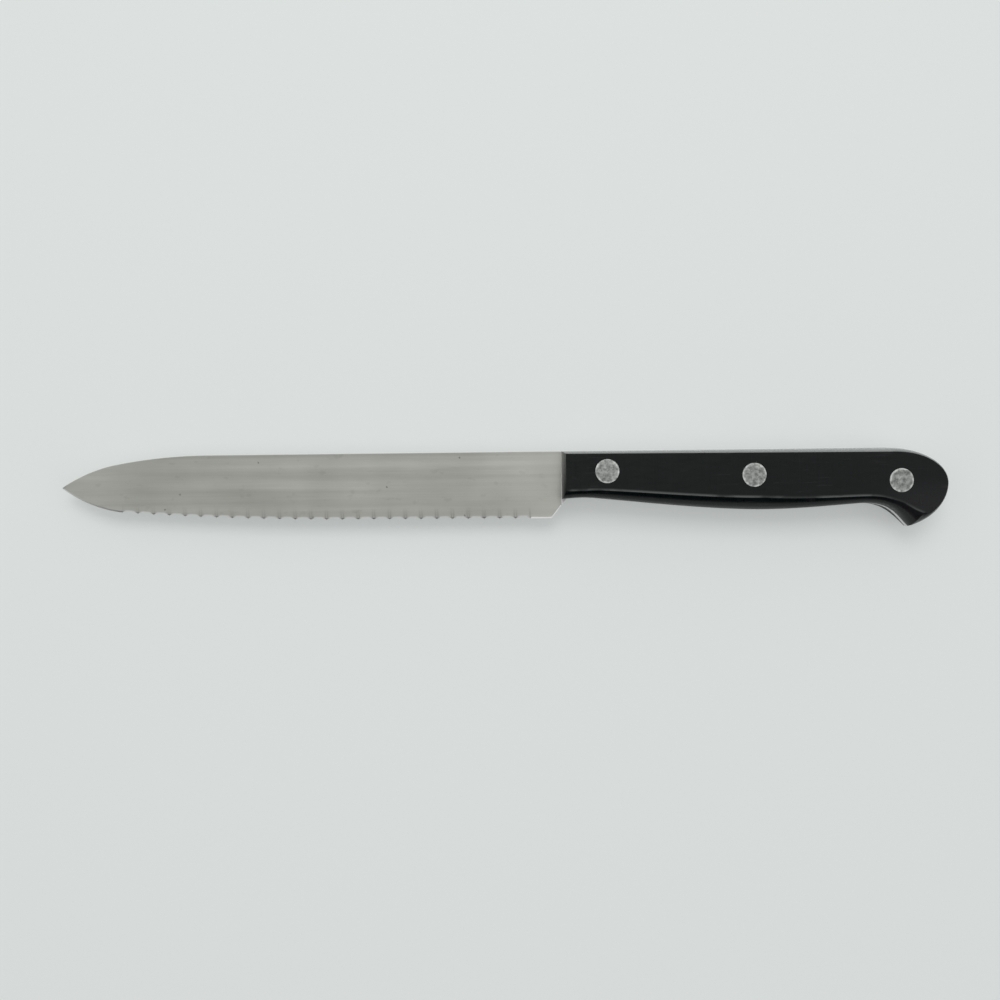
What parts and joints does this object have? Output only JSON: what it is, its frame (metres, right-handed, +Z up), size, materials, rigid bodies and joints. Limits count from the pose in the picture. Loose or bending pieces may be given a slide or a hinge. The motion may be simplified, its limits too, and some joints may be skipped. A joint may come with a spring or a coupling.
{
  "type": "serrated utility knife",
  "caption": "Full-tang utility knife with a scalloped serrated blade, riveted black plastic scales and a hooked butt, for slicing crusty or soft-skinned food.",
  "frame": {"origin": "centre of the knife's length and depth, on the surface that its right side lies on", "axes": "+X from the tip towards the butt, +Y from the edge towards the spine, +Z up out of the left side"},
  "size_m": [0.2286, 0.0204, 0.0119],
  "materials": {
    "blade_steel": "satin, brushed lengthwise",
    "handle_plastic": "worn satin black",
    "rivet_metal": "flush-ground and worn dull"
  },
  "bodies": {
    "root": {"blade": "blade_steel", "left_scale": "handle_plastic", "right_scale": "handle_plastic", "front_rivet_pin": "rivet_metal", "front_rivet_tube": "rivet_metal", "middle_rivet_pin": "rivet_metal", "middle_rivet_tube": "rivet_metal", "rear_rivet_pin": "rivet_metal", "rear_rivet_tube": "rivet_metal"}
  },
  "joints": []
}
